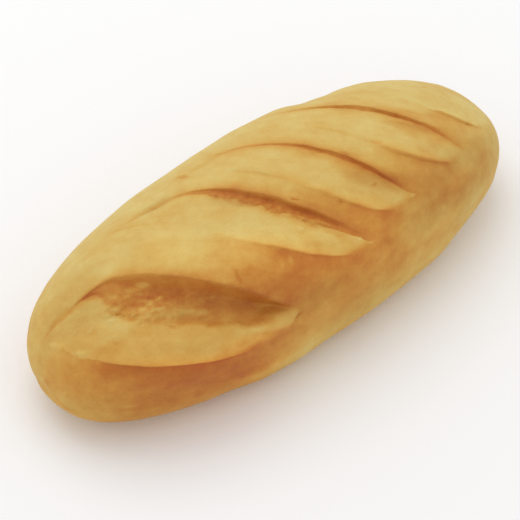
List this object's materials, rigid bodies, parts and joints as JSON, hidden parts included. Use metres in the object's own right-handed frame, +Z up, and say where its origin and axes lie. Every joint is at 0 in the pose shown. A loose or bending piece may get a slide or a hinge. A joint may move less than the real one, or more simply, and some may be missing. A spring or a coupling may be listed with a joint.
{
  "type": "wheat bread loaf",
  "caption": "Long plump wheat bread loaf with a golden-brown crust and slanting slashes that opened along its top, lying on its flat base; food to slice and eat.",
  "frame": {"origin": "on the plane of the flat base, under the middle of the loaf's length and width", "axes": "+X along the loaf towards its slightly smaller end, +Z up out of the base, -Y the side that the slashes' lower ends run down to"},
  "size_m": [0.26, 0.1072, 0.0788],
  "materials": {
    "crust": "baked crust, dull satin, golden brown and uneven, darker in the slashes"
  },
  "bodies": {
    "root": {"loaf": "crust"}
  },
  "joints": []
}
